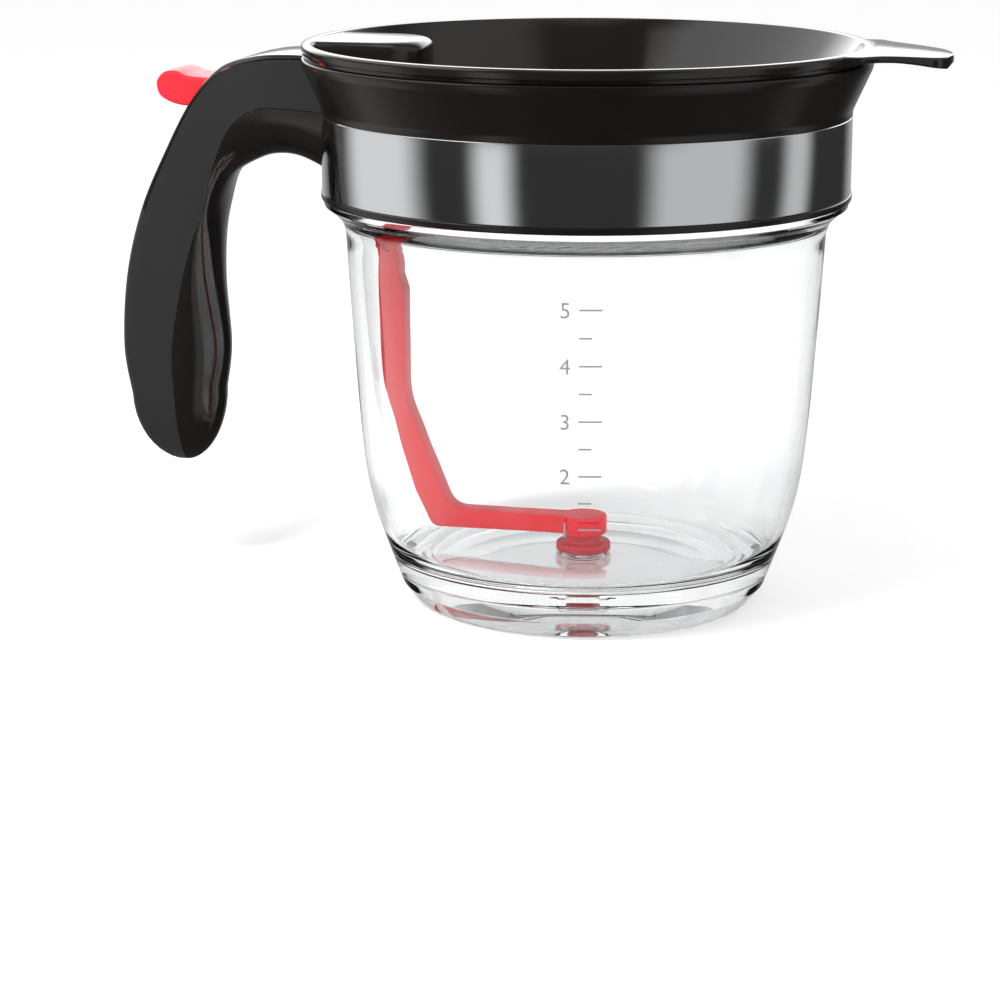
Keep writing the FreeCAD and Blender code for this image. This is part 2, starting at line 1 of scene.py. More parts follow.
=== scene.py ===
import math
import bmesh
import bpy
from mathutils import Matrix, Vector


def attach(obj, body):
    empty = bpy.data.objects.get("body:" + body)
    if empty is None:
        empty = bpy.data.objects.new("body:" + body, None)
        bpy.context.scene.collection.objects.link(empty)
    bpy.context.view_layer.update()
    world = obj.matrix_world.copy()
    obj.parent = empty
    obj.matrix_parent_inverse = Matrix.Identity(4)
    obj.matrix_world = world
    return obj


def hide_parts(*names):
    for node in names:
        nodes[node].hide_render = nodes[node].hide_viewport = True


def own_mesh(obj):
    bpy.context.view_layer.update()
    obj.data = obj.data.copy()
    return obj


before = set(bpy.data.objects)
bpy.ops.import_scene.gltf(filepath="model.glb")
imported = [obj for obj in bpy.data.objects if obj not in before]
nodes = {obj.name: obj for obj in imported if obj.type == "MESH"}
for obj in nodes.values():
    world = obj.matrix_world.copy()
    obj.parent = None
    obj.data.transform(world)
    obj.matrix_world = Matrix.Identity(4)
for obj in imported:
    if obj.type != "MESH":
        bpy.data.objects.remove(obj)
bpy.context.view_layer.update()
scene = bpy.context.scene
scene.view_settings.view_transform = "Standard"
print("frame loaded:", len(nodes), "nodes")


# every length below is in millimetres, and the meshes are scaled to metres

def meshObject(name, points, faces):
    mesh = bpy.data.meshes.new(name)
    mesh.from_pydata([(x / 1000, y / 1000, z / 1000) for x, y, z in points], [], faces)
    work = bmesh.new()
    work.from_mesh(mesh)
    bmesh.ops.recalc_face_normals(work, faces=work.faces)
    work.to_mesh(mesh)
    work.free()
    made = bpy.data.objects.new(name, mesh)
    bpy.context.collection.objects.link(made)
    return made


def splineThrough(points, perSpan):
    # Catmull-Rom line through every point, ends kept
    ends = [points[0]] + list(points) + [points[-1]]
    out = []
    for i in range(len(points) - 1):
        a, b, c, d = ends[i:i + 4]
        for step in range(perSpan):
            t = step / perSpan
            out.append(tuple(0.5 * (2 * q + (r - p) * t + (2 * p - 5 * q + 4 * r - s) * t * t
                                    + (3 * q - p - 3 * r + s) * t ** 3)
                             for p, q, r, s in zip(a, b, c, d)))
    out.append(tuple(points[-1]))
    return out


def softCorners(points, radius, steps=4, closed=True):
    # rounds each corner; a point may carry its own radius as a third number
    out = []
    count = len(points)
    for i, point in enumerate(points):
        here = Vector(point[:2])
        size = point[2] if len(point) > 2 else radius
        ends = not closed and i in (0, count - 1)
        if size <= 0 or ends or abs(here.x) < 1e-6:
            out.append(tuple(here))
            continue
        back = Vector(points[i - 1][:2]) - here
        ahead = Vector(points[(i + 1) % count][:2]) - here
        half = back.angle(ahead) / 2
        if half > math.radians(88.5):
            out.append(tuple(here))
            continue
        cut = min(size / math.tan(half), back.length * 0.48, ahead.length * 0.48)
        start = here + back.normalized() * cut
        end = here + ahead.normalized() * cut
        for step in range(steps + 1):
            t = step / steps
            out.append(tuple(start * (1 - t) ** 2 + here * (2 * t * (1 - t)) + end * t ** 2))
    return out


def lathe(name, profile, steps=180):
    points, rings = [], []
    for r, z in profile:
        if r < 1e-6:
            rings.append([len(points)])
            points.append((0, 0, z))
        else:
            rings.append(list(range(len(points), len(points) + steps)))
            points += [(r * math.cos(2 * math.pi * k / steps), r * math.sin(2 * math.pi * k / steps), z)
                       for k in range(steps)]
    faces = []
    for i, here in enumerate(rings):
        there = rings[(i + 1) % len(rings)]
        if len(here) == 1 and len(there) == 1:
            continue
        for k in range(steps):
            corner = [here[k % len(here)], here[(k + 1) % len(here)],
                      there[(k + 1) % len(there)], there[k % len(there)]]
            faces.append(tuple(dict.fromkeys(corner)))
    return meshObject(name, points, faces)


def loft(name, rings):
    # closed skin through rings of equal point count, with flat ends
    points = [p for ring in rings for p in ring]
    count = len(rings[0])
    faces = [tuple(range(count)), tuple((len(rings) - 1) * count + k for k in range(count))]
    for i in range(len(rings) - 1):
        for k in range(count):
            n = (k + 1) % count
            faces.append((i * count + k, i * count + n, (i + 1) * count + n, (i + 1) * count + k))
    return meshObject(name, points, faces)


def plate(name, outline, low, high, bevel=0, axis="y", segments=3):
    # flat outline pushed from low to high along one axis, with rounded edges
    def place(p, at):
        return (p[0], at, p[1]) if axis == "y" else (p[0], p[1], at)

    count = len(outline)
    points = [place(p, low) for p in outline] + [place(p, high) for p in outline]
    faces = [tuple(range(count)), tuple(range(2 * count - 1, count - 1, -1))]
    faces += [(k, (k + 1) % count, (k + 1) % count + count, k + count) for k in range(count)]
    made = meshObject(name, points, faces)
    if bevel:
        work = bmesh.new()
        work.from_mesh(made.data)
        rims = [e for e in work.edges if e.calc_face_angle(0) > math.radians(28)]
        bmesh.ops.bevel(work, geom=rims, offset=bevel / 1000, segments=segments, profile=0.5,
                        affect="EDGES", clamp_overlap=True)
        work.to_mesh(made.data)
        work.free()
    return made


def bar(name, radius, start, end, steps=32):
    a, b = Vector(start), Vector(end)
    along = (b - a).normalized()
    side = along.orthogonal().normalized()
    up = along.cross(side)
    turns = [2 * math.pi * k / steps for k in range(steps)]
    return loft(name, [[tuple(p + side * (radius * math.cos(t)) + up * (radius * math.sin(t)))
                        for t in turns] for p in (a, b)])


def box(name, low, high):
    return plate(name, [(low[0], low[1]), (high[0], low[1]), (high[0], high[1]), (low[0], high[1])],
                 low[2], high[2], axis="z")


def bake(piece):
    piece.data = bpy.data.meshes.new_from_object(
        piece.evaluated_get(bpy.context.evaluated_depsgraph_get()))
    piece.modifiers.clear()


def combine(piece, tool, operation):
    change = piece.modifiers.new("combine", "BOOLEAN")
    change.operation = operation
    change.solver = "EXACT"
    change.object = tool
    bake(piece)
    bpy.data.objects.remove(tool)
    return piece


def cut(piece, *tools):
    for tool in tools:
        combine(piece, tool, "DIFFERENCE")
    return piece


def join(piece, *tools):
    for tool in tools:
        combine(piece, tool, "UNION")
    return piece


def common(piece, tool):
    return combine(piece, tool, "INTERSECT")


def dress(piece, finish, body, slot, *replaced, sharp=32):
    # finish, smooth shading, body and the nodes that the piece stands for
    piece.data.materials.clear()
    piece.data.materials.append(finish)
    piece.data.shade_smooth()
    piece.data.set_sharp_from_angle(angle=math.radians(sharp))
    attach(piece, body)
    if replaced:
        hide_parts(*replaced)
    print("piece:", piece.name, len(piece.data.polygons), "faces")
    return piece


# finishes

class Tone:
    # a socket in a node tree; sums and products on it add Math nodes
    def __init__(self, finish, socket):
        self.finish = finish
        self.socket = socket

    def maths(self, operation, first, second):
        return self.finish.node("Math", {"operation": operation}, {0: first, 1: second})

    def __add__(self, other): return self.maths("ADD", self, other)
    def __radd__(self, other): return self.maths("ADD", other, self)
    def __sub__(self, other): return self.maths("SUBTRACT", self, other)
    def __rsub__(self, other): return self.maths("SUBTRACT", other, self)
    def __mul__(self, other): return self.maths("MULTIPLY", self, other)
    def __rmul__(self, other): return self.maths("MULTIPLY", other, self)
    def __truediv__(self, other): return self.maths("DIVIDE", self, other)
    def __rtruediv__(self, other): return self.maths("DIVIDE", other, self)
    def __pow__(self, other): return self.maths("POWER", self, other)


class Finish:
    def __init__(self, owner):
        owner.use_nodes = True
        self.tree = owner.node_tree
        self.tree.nodes.clear()

    def feed(self, socket, value):
        if isinstance(value, Tone):
            self.tree.links.new(value.socket, socket)
        else:
            socket.default_value = value

    def node(self, kind, settings=None, sockets=None, output=0):
        made = self.tree.nodes.new("ShaderNode" + kind)
        for key, value in (settings or {}).items():
            setattr(made, key, value)
        for key, value in (sockets or {}).items():
            self.feed(made.inputs[key], value)
        return Tone(self, made.outputs[output]) if len(made.outputs) else None

    def blend(self, factor, first, second):
        return self.node("Mix", {"data_type": "RGBA"}, {0: factor, 6: first, 7: second}, 2)

    def noise(self, size, detail=3, stretch=(1, 1, 1)):
        # size of the marks in millimetres
        place = self.node("TexCoord", output=3)
        scaled = self.node("Mapping", None, {0: place, 3: tuple(1000 / size * s for s in stretch)})
        return self.node("TexNoise", None, {"Vector": scaled, "Scale": 1.0, "Detail": detail}, 0)

    def bump(self, height, depth, under=None):
        sockets = {"Height": height, "Distance": depth / 1000, "Strength": 1.0}
        if under:
            sockets["Normal"] = under
        return self.node("Bump", None, sockets)

    def surface(self, sockets):
        self.node("OutputMaterial", None, {"Surface": self.node("BsdfPrincipled", None, sockets)})


def newFinish(name):
    material = bpy.data.materials.new(name)
    return material, Finish(material)


def tint(r, g, b):
    return (r, g, b, 1.0)


def mouldedPlastic(name, look):
    # moulded plastic: slow colour drift, fine grain, handling haze in the gloss
    material, make = newFinish(name)
    drift = make.noise(look["driftSize"], 2)
    grain = make.noise(look["grainSize"], 2)
    haze = make.noise(look["hazeSize"], 4)
    colour = make.blend(drift, tint(*look["dark"]), tint(*look["light"]))
    wave = make.bump(make.noise(look["waveSize"], 1), look["waveDepth"])
    normal = make.bump(grain, look["grainDepth"], wave)
    make.surface({"Base Color": colour, "Roughness": look["gloss"] + (haze - 0.5) * look["hazeRange"],
                  "Normal": normal, "IOR": look["ior"], "Sheen Weight": look.get("sheen", 0.0),
                  "Sheen Roughness": 0.5})
    return material


satinBlackLook = {"dark": (0.0045, 0.0040, 0.0036), "light": (0.0095, 0.0075, 0.0065), "driftSize": 60,
                  "grainSize": 0.35, "grainDepth": 0.004, "hazeSize": 18, "hazeRange": 0.06,
                  "waveSize": 40, "waveDepth": 0.05, "gloss": 0.22, "ior": 1.46}
glossBlackLook = {"dark": (0.006, 0.005, 0.0045), "light": (0.011, 0.009, 0.008), "driftSize": 70,
                  "grainSize": 1.2, "grainDepth": 0.0006, "hazeSize": 22, "hazeRange": 0.05,
                  "waveSize": 45, "waveDepth": 0.04, "gloss": 0.10, "ior": 1.52}
softGripLook = {"dark": (0.0115, 0.0113, 0.0115), "light": (0.0165, 0.0160, 0.0163), "driftSize": 40,
                "grainSize": 0.28, "grainDepth": 0.012, "hazeSize": 14, "hazeRange": 0.08,
                "waveSize": 30, "waveDepth": 0.03, "gloss": 0.46, "ior": 1.46, "sheen": 0.12}
redLook = {"dark": (0.78, 0.012, 0.022), "light": (0.88, 0.022, 0.034), "driftSize": 25,
           "grainSize": 0.4, "grainDepth": 0.003, "hazeSize": 9, "hazeRange": 0.08,
           "waveSize": 20, "waveDepth": 0.03, "gloss": 0.36, "ior": 1.38}
armRedLook = {"dark": (0.74, 0.006, 0.016), "light": (0.84, 0.012, 0.024), "driftSize": 25,
              "grainSize": 0.5, "grainDepth": 0.004, "hazeSize": 9, "hazeRange": 0.08,
              "waveSize": 20, "waveDepth": 0.03, "gloss": 0.42, "ior": 1.33}
stopperLook = {"dark": (0.48, 0.012, 0.018), "light": (0.60, 0.02, 0.028), "driftSize": 8,
               "grainSize": 0.3, "grainDepth": 0.01, "hazeSize": 5, "hazeRange": 0.08,
               "waveSize": 10, "waveDepth": 0.02, "gloss": 0.5, "ior": 1.42}
sealLook = {"dark": (0.018, 0.018, 0.018), "light": (0.028, 0.028, 0.028), "driftSize": 12,
            "grainSize": 0.3, "grainDepth": 0.01, "hazeSize": 6, "hazeRange": 0.08,
            "waveSize": 15, "waveDepth": 0.02, "gloss": 0.6, "ior": 1.45}
markLook = {"dark": (0.22, 0.22, 0.22), "light": (0.32, 0.32, 0.32), "driftSize": 2,
            "grainSize": 0.2, "grainDepth": 0.003, "hazeSize": 2, "hazeRange": 0.1,
            "waveSize": 4, "waveDepth": 0.004, "gloss": 0.5, "ior": 1.45}
satinBlack = mouldedPlastic("satinBlackPlastic", satinBlackLook)
glossBlack = mouldedPlastic("glossBlackPlastic", glossBlackLook)
softGrip = mouldedPlastic("softTouchGrip", softGripLook)
redPlastic = mouldedPlastic("redPlastic", redLook)
stopperRubber = mouldedPlastic("stopperRubber", stopperLook)
armRed = mouldedPlastic("armRedPlastic", armRedLook)
sealRubber = mouldedPlastic("sealRubber", sealLook)
scalePaint = mouldedPlastic("scalePaint", markLook)


def clearPlastic(look):
    # clear moulded wall: faint waves from the mould and a light haze of use
    material, make = newFinish("clearJarPlastic")
    wave = make.bump(make.noise(look["waveSize"], 2, (1, 1, 0.5)), look["waveDepth"])
    haze = make.noise(look["hazeSize"], 4)
    make.surface({"Base Color": make.blend(haze, tint(*look["dark"]), tint(*look["light"])),
                  "Roughness": look["gloss"] + haze ** 3 * look["hazeRange"], "Normal": wave,
                  "IOR": look["ior"], "Transmission Weight": 1.0})
    return material


clearJar = clearPlastic({"dark": (0.95, 0.965, 0.97), "light": (0.985, 0.99, 0.99), "waveSize": 22,
                         "waveDepth": 0.06, "hazeSize": 14, "gloss": 0.0, "hazeRange": 0.04,
                         "ior": 1.43})


def metal(name, look):
    # turned or rolled metal: fine lines round the part and soft cloudiness
    material, make = newFinish(name)
    lines = make.noise(look["lineSize"], 2, look["stretch"])
    cloud = make.noise(look["cloudSize"], 3)
    make.surface({"Base Color": make.blend(cloud, tint(*look["dark"]), tint(*look["light"])),
                  "Metallic": 1.0, "Normal": make.bump(lines, look["lineDepth"]),
                  "Roughness": look["gloss"] + cloud * look["cloudRange"] + lines * look["lineRange"]})
    return material


brightMetal = metal("brightMetal", {"dark": (0.80, 0.81, 0.82), "light": (0.88, 0.89, 0.90),
                                    "lineSize": 0.6, "stretch": (0.03, 0.03, 1.0), "lineDepth": 0.0006,
                                    "lineRange": 0.03, "cloudSize": 25, "cloudRange": 0.04,
                                    "gloss": 0.07})
pinSteel = metal("pinSteel", {"dark": (0.48, 0.48, 0.49), "light": (0.62, 0.62, 0.63), "lineSize": 0.3,
                              "stretch": (1, 0.1, 1), "lineDepth": 0.002, "lineRange": 0.1,
                              "cloudSize": 3, "cloudRange": 0.1, "gloss": 0.2})
springSteel = metal("springSteel", {"dark": (0.36, 0.36, 0.37), "light": (0.5, 0.5, 0.51),
                                    "lineSize": 0.2, "stretch": (1, 1, 0.2), "lineDepth": 0.002,
                                    "lineRange": 0.1, "cloudSize": 2, "cloudRange": 0.1, "gloss": 0.25})
print("finishes made")


# jar

jarLook = {"side": [(50.9, 5.2), (55.6, 18.0), (58.5, 27.0), (60.8, 38.5), (62.3, 54.0), (63.4, 69.6),
                    (64.5, 86.0), (65.5, 103.0)],
           "cove": [(65.5, 103.0), (66.6, 106.2), (69.0, 108.8), (71.2, 110.4)],
           "inner": [(63.5, 106.0), (62.5, 101.0), (61.5, 86.0), (60.4, 69.6), (59.2, 54.0),
                     (57.7, 38.5), (55.4, 27.0), (53.0, 19.0), (50.2, 15.0), (46.2, 13.2)],
           "floor": 13.0, "recess": 9.0, "drain": 5.0, "nozzle": 6.8, "nozzleEnd": 5.0,
           "footInner": 42.4, "footOuter": 46.4, "flange": 71.3, "flangeHigh": 112.1,
           "neck": 66.4, "neckInner": 63.6, "neckHigh": 130.1}


def buildJar():
    look = jarLook
    side = splineThrough(look["side"], 5)
    cove = splineThrough(look["cove"], 4)[1:-1]
    inner = splineThrough(look["inner"], 4)
    foot = softCorners([
        (look["footInner"], look["recess"]), (look["footInner"], 0.0, 1.0), (look["footOuter"], 0.0, 1.6),
        look["side"][0], look["side"][1]], 1.0, closed=False)[1:-1]
    flange = softCorners([
        look["cove"][2], (look["flange"], 110.5, 0.5), (look["flange"], look["flangeHigh"], 0.4),
        (look["neck"], look["flangeHigh"], 0.4), (look["neck"], look["neckHigh"], 0.5),
        (look["neckInner"], look["neckHigh"], 0.5), (look["neckInner"], 106.0)],
        0.4, closed=False)[1:-1]
    floor = softCorners([
        look["inner"][-1], (44.0, look["floor"]), (look["drain"], look["floor"], 0.5),
        (look["drain"], look["nozzleEnd"], 0.3), (look["nozzle"], look["nozzleEnd"], 0.4),
        (look["nozzle"], look["recess"], 0.8), (look["footInner"], look["recess"], 0.8),
        (look["footInner"], 0.0)], 0.5, closed=False)[1:-1]
    profile = foot + side[1:] + cove + flange + inner + floor
    return lathe("clearJar", profile, 240)


dress(buildJar(), clearJar, "vessel", "clear_jar", "jar", sharp=50)

scaleLook = {"facing": -80.0, "levels": [33.0, 47.7, 62.4, 77.1, 91.8], "halfStep": 7.35,
             "digitHeight": 4.2, "tick": 6.0, "shortTick": 3.4, "line": 0.45, "thickness": 0.12}


def jarRadiusAt(height):
    side = splineThrough(jarLook["side"], 8)
    for (r0, z0), (r1, z1) in zip(side, side[1:]):
        if z0 <= height <= z1:
            return r0 + (r1 - r0) * (height - z0) / (z1 - z0)
    return side[-1][0]


def wrapOnJar(flat):
    # lays flat marks (x across, y up, z out, in millimetres) on the jar's side
    for v in flat.data.vertices:
        x, y, z = v.co
        radius = jarRadiusAt(y) + 0.02 + z
        turn = math.radians(scaleLook["facing"]) + x / radius
        v.co = Vector((radius * math.cos(turn), radius * math.sin(turn), y)) / 1000
    return flat


def buildScale():
    # plain numbers and ticks
    look = scaleLook
    work = bmesh.new()

    def addTick(x, y, length):
        parts = 6
        for part in range(parts):
            x0, x1 = x + length * part / parts, x + length * (part + 1) / parts
            corners = []
            for z in (0, look["thickness"]):
                for px, py in ((x0, y), (x1, y), (x1, y + look["line"]), (x0, y + look["line"])):
                    corners.append(work.verts.new((px, py, z)))
            a, b = corners[:4], corners[4:]
            for face in ([a[0], a[1], a[2], a[3]], [b[0], b[1], b[2], b[3]],
                         [a[0], a[1], b[1], b[0]], [a[3], a[2], b[2], b[3]],
                         [a[0], a[3], b[3], b[0]], [a[1], a[2], b[2], b[1]]):
                work.faces.new(face)

    for number, level in enumerate(look["levels"], 1):
        addTick(0, level, look["tick"])
        if number < len(look["levels"]):
            addTick(0, level + look["halfStep"], look["shortTick"])
        text = bpy.data.curves.new("digit", "FONT")
        text.body = str(number)
        text.size = look["digitHeight"] * 1.4
        text.extrude = look["thickness"] / 2
        holder = bpy.data.objects.new("digit", text)
        bpy.context.collection.objects.link(holder)
        digit = bpy.data.meshes.new_from_object(
            holder.evaluated_get(bpy.context.evaluated_depsgraph_get()))
        for v in digit.vertices:
            v.co = Vector((v.co.x - 5.0, v.co.y + level - look["digitHeight"] / 2 + 0.2,
                           v.co.z + look["thickness"] / 2))
        work.from_mesh(digit)
        bpy.data.objects.remove(holder)
    mesh = bpy.data.meshes.new("measuringScale")
    bmesh.ops.recalc_face_normals(work, faces=work.faces)
    work.to_mesh(mesh)
    work.free()
    made = bpy.data.objects.new("measuringScale", mesh)
    bpy.context.collection.objects.link(made)
    return wrapOnJar(made)


dress(buildScale(), scalePaint, "vessel", "clear_jar")
print("jar done")


# collar and band

collarLook = {"bore": 69.0, "lip": 72.1, "lipLow": 112.1, "lipHigh": 114.0, "seat": 71.0,
              "seatHigh": 134.8, "band": 71.8, "flareLow": 136.4, "rim": 77.0, "rimHigh": 149.8,
              "shelfLow": 131.6, "shelfHigh": 133.6, "shelfHole": 63.8, "wall": 2.0}
ribLook = {"count": 8, "inner": 66.5, "outer": 70.0, "half": 0.8, "low": 112.1, "high": 132.6}
screwHeights = (124.5, 131.0)
pivotAt = (-86.3, 141.0)
linkAt = (-55.3, 136.92)
halfPress = math.radians(7.5)


def forkPassage(extra):
    # opening that widens inwards with the fork's swing
    def half(x):
        return 3.7 + extra + (x - pivotAt[0]) * math.tan(halfPress)

    a, b = pivotAt[0] + 4.6, -63.8
    middle = pivotAt[1]
    outline = [(a, middle - half(a)), (b, middle - half(b)), (b, middle + half(b)), (a, middle + half(a))]
    return plate("forkPassage", outline, -7.7 - extra, 7.7 + extra)


def buildCollar():
    c = collarLook
    inner = c["rim"] - c["wall"]
    profile = softCorners([
        (c["bore"], c["lipLow"], 0.3), (c["lip"], c["lipLow"], 0.6), (c["lip"], c["lipHigh"], 0.6),
        (c["seat"], c["lipHigh"], 0.1), (c["seat"], c["seatHigh"], 0.1), (c["band"], c["seatHigh"], 0.3),
        (c["band"], c["flareLow"], 3.0), (76.7, 147.3, 1.0), (c["rim"], 148.4, 0.8),
        (c["rim"], c["rimHigh"], 0.9), (inner, c["rimHigh"], 0.8), (69.8, c["shelfHigh"], 1.2),
        (c["shelfHole"], c["shelfHigh"], 0.4), (c["shelfHole"], c["shelfLow"], 0.4),
        (c["bore"], c["shelfLow"], 0.8)], 0.5)
    collar = lathe("blackCollar", profile, 240)
    rib = ribLook
    for number in range(rib["count"]):
        a = math.radians(number * 360 / rib["count"])
        across = Vector((-math.sin(a), math.cos(a))) * rib["half"]
        out = Vector((math.cos(a), math.sin(a)))
        corners = [out * rib["inner"] + across, out * rib["outer"] + across,
                   out * rib["outer"] - across, out * rib["inner"] - across]
        join(collar, plate("neckRib", [tuple(p) for p in corners], rib["low"], rib["high"], axis="z"))
    guide = plate("armGuide", softCorners([(-65.8, -8.5), (-50.1, -8.5, 2.0), (-50.1, 8.5, 2.0),
                                           (-65.8, 8.5)], 0.1), 131.6, 133.1, 0.3, axis="z")
    join(collar, guide)
    cut(collar, box("armWindow", (-59.5, -3.9, 130.6), (-52.3, 3.9, 134.6)), forkPassage(0))
    for z in screwHeights:
        cut(collar, bar("screwHole", 1.7, (-73, 0, z), (-67.5, 0, z), 24),
            bar("headRoom", 2.8, (-69.2, 0, z), (-66.5, 0, z), 24))
    return collar


dress(buildCollar(), satinBlack, "vessel", "black_plastic", "collar", sharp=38)

bandLook = {"inner": 71.0, "outer": 71.8, "low": 114.0, "high": 134.8, "edge": 0.25}


def buildBand():
    b = bandLook
    band = lathe("brightBand", softCorners([(b["inner"], b["low"]), (b["outer"], b["low"]),
                                            (b["outer"], b["high"]), (b["inner"], b["high"])],
                                           b["edge"], 3), 300)
    for z in screwHeights:
        cut(band, bar("screwHole", 1.7, (-74, 0, z), (-69, 0, z), 24))
    return band


dress(buildBand(), brightMetal, "vessel", "bright_band", "chrome_band", sharp=50)
print("collar done")


# handle

# how far out from the band and down from the top the back and the inner face lie,
# then the half width and the depth of the side face
handleLook = {"top": 149.6, "band": 71.8, "edge": 1.5, "seam": 0.16, "spine": 1.3, "wall": 2.4,
              "stations": [
                  (-2.2, 0.4, -2.2, 34.2, 14.6, 14.6), (8.2, 0.0, 7.7, 29.3, 14.3, 14.3),
                  (18.2, 0.7, 15.7, 28.6, 14.0, 13.8), (28.0, 3.9, 22.5, 30.9, 13.6, 15.6),
                  (36.6, 13.0, 28.0, 34.6, 13.3, 17.5), (44.4, 26.9, 31.4, 41.3, 13.1, 17.0),
                  (52.0, 43.5, 32.6, 49.8, 13.0, 16.5), (56.9, 62.3, 32.6, 64.8, 13.0, 16.0),
                  (58.5, 82.6, 31.0, 83.6, 12.8, 14.0), (56.6, 97.0, 32.6, 96.4, 12.2, 12.2)],
              "perSpan": 7, "tip": 20.7, "tipCurve": 1.9}


def handleRows():
    look = handleLook
    rows = []
    for bo, bd, fo, fd, width, side in splineThrough(look["stations"], look["perSpan"]):
        back = Vector((-look["band"] - bo, 0, look["top"] - bd))
        front = Vector((-look["band"] - fo, 0, look["top"] - fd))
        inward = front - back
        rows.append((back, inward.normalized(), inward.length, width, side))
    back, inward, depth, width, side = rows[-1]
    onward = Vector((0, 1, 0)).cross(inward)
    if onward.z > 0:
        onward = -onward
    middle = back + inward * (depth / 2)
    for step in (0.12, 0.25, 0.38, 0.5, 0.61, 0.71, 0.8, 0.87, 0.93, 0.97, 0.992):
        shrink = (1 - step ** look["tipCurve"]) ** (1 / look["tipCurve"])
        centre = middle + onward * (look["tip"] * step)
        rows.append((centre - inward * (depth * shrink / 2), inward, depth * shrink,
                     width * shrink, side * shrink))
    return rows


def widthAt(row, u):
    # half width of the handle at a depth below its back
    depth, width, side = row[2:]
    edge = min(handleLook["edge"], width / 4, side / 4)
    if u < edge:
        return width - edge * (1 - math.sqrt(max(0.0, 1 - (1 - u / edge) ** 2)))
    if u <= side:
        return width
    share = min(1.0, (u - side) / (depth - side))
    return width * math.sqrt(max(0.0, 1 - share ** 2.2))


def handleSkin(name, spans):
    # closed skin through rows, each with the depths where its piece starts and ends
    rings = []
    for row, low, high in spans:
        back, inward, depth, width, side = row
        edge = min(max(low, min(handleLook["edge"], width / 4, side / 4)), high)
        depths = [low + (edge - low) * (1 - math.cos(math.pi / 2 * k / 5)) for k in range(5)]
        if high > depth - 0.01:
            depths = [low + (high - low) * math.sin(math.pi / 2 * k / 15) for k in range(16)]
        else:
            depths += [edge + (high - edge) * k / 6 for k in range(7)]
        right = [(u, widthAt(row, u)) for u in depths]
        if high > depth - 0.01:
            left = [(u, -v) for u, v in right[-2::-1]]
        else:
            left = [(u, -v) for u, v in right[::-1]]
        rings.append([tuple(back + inward * u + Vector((0, v, 0))) for u, v in right + left])
    return loft(name, rings)


def stationCore(rows, half, start, end):
    near = [row[0] + row[1] * start(row) for row in rows]
    far = [row[0] + row[1] * end(row) for row in rows]
    return plate("core", [(p.x, p.z) for p in near + far[::-1]], -half, half)


def collarEnvelope():
    # all that the collar and the band take up beside the handle
    c = collarLook
    return lathe("envelope", [(0, 90), (c["band"], 90), (c["band"], c["flareLow"]), (c["rim"], 148.2),
                              (c["rim"], 154), (0, 154)], 240)


springLook = {"at": -97.3, "low": 123.4, "high": 136.95, "wire": 0.4, "radius": 2.9, "turns": 5}


def triggerSlot():
    return plate("triggerSlot", [(-99.8, 144.5), (-125.7, 150.5), (-125.7, 125.7), (-99.8, 125.7)],
                 -9.5, 9.5)


def leverRoom():
    return plate("leverRoom", [(-81.7, 146.1), (-90.9, 146.1), (-100.3, 144.5), (-100.3, 134.4),
                               (-81.7, 134.4)], -10.75, 10.75)


def buildHandle():
    look = handleLook
    rows = handleRows()
    spineEnd = 6 * handleLook["perSpan"]
    gap = look["seam"] / 2
    inset = look["spine"] + look["wall"]

    def sideEnd(row):
        return row[4] + 0.5 * min(1, row[4] / 8)

    def seamHalf(row):
        # the joint between cover and frame closes up below the arch
        return gap * (1 - 0.7 * min(1, max(0, (118 - row[0].z) / 25)))

    topCover = handleSkin("topCover", [(row, 0, look["spine"] - gap) for row in rows[:spineEnd + 1]])
    spans = [(row, look["spine"] + gap, sideEnd(row) - seamHalf(row)) for row in rows[:spineEnd + 1]]
    spans += [(row, 0, sideEnd(row) - seamHalf(row)) for row in rows[spineEnd:]]
    gripCover = handleSkin("gripCover", spans)
    innerFrame = handleSkin("innerFrame", [(row, sideEnd(row) + seamHalf(row), row[2]) for row in rows])
    archRows, gripRows, bothRows = rows[:29], rows[28:57], rows[:57]

    def boss():
        return box("boss", (-82.5, -13, 60), (-71, 13, 134.0))

    def bellyCore():
        return cut(stationCore(bothRows, 6.5, lambda row: row[4] - 1, lambda row: row[2] - look["wall"]),
                   boss())

    for piece in (topCover, gripCover, innerFrame):
        cut(piece, collarEnvelope())
    cut(topCover, triggerSlot())
    archCore = stationCore(archRows, 11.3, lambda row: inset, lambda row: row[4] + 0.9)
    gripCore = stationCore(gripRows, 10.3, lambda row: inset, lambda row: row[4] + 0.9)
    cut(gripCover, cut(archCore, boss()), gripCore, bellyCore(), leverRoom(), triggerSlot(),
        forkPassage(0.5))
    x, z = pivotAt
    for side in (-1, 1):
        join(gripCover, bar("pinPost", 3.85, (x, side * 10.8, z), (x, side * 12.8, z)))
    cut(gripCover, bar("pinHole", 1.5, (x, -13.0, z), (x, 13.0, z)))
    cut(innerFrame, bellyCore())
    x = springLook["at"]
    join(innerFrame, bar("springSeat", 4.0, (x, 0, 119.5), (x, 0, 123.0)),
         bar("springNub", 1.9, (x, 0, 122.5), (x, 0, 126.0)))
    cut(innerFrame, forkPassage(0.5))
    for z in screwHeights:
        cut(innerFrame, bar("screwBore", 1.5, (-82.8, 0, z), (-69.8, 0, z), 24))
    return innerFrame, gripCover, topCover


innerFrame, gripCover, topCover = buildHandle()
dress(innerFrame, glossBlack, "vessel", "black_plastic", "handle_frame", sharp=34)
dress(gripCover, softGrip, "vessel", "soft_grip", "grip_cover", sharp=34)
dress(topCover, glossBlack, "vessel", "black_plastic", "handle_top_cover", sharp=34)
print("handle done")


# trigger, pins and spring

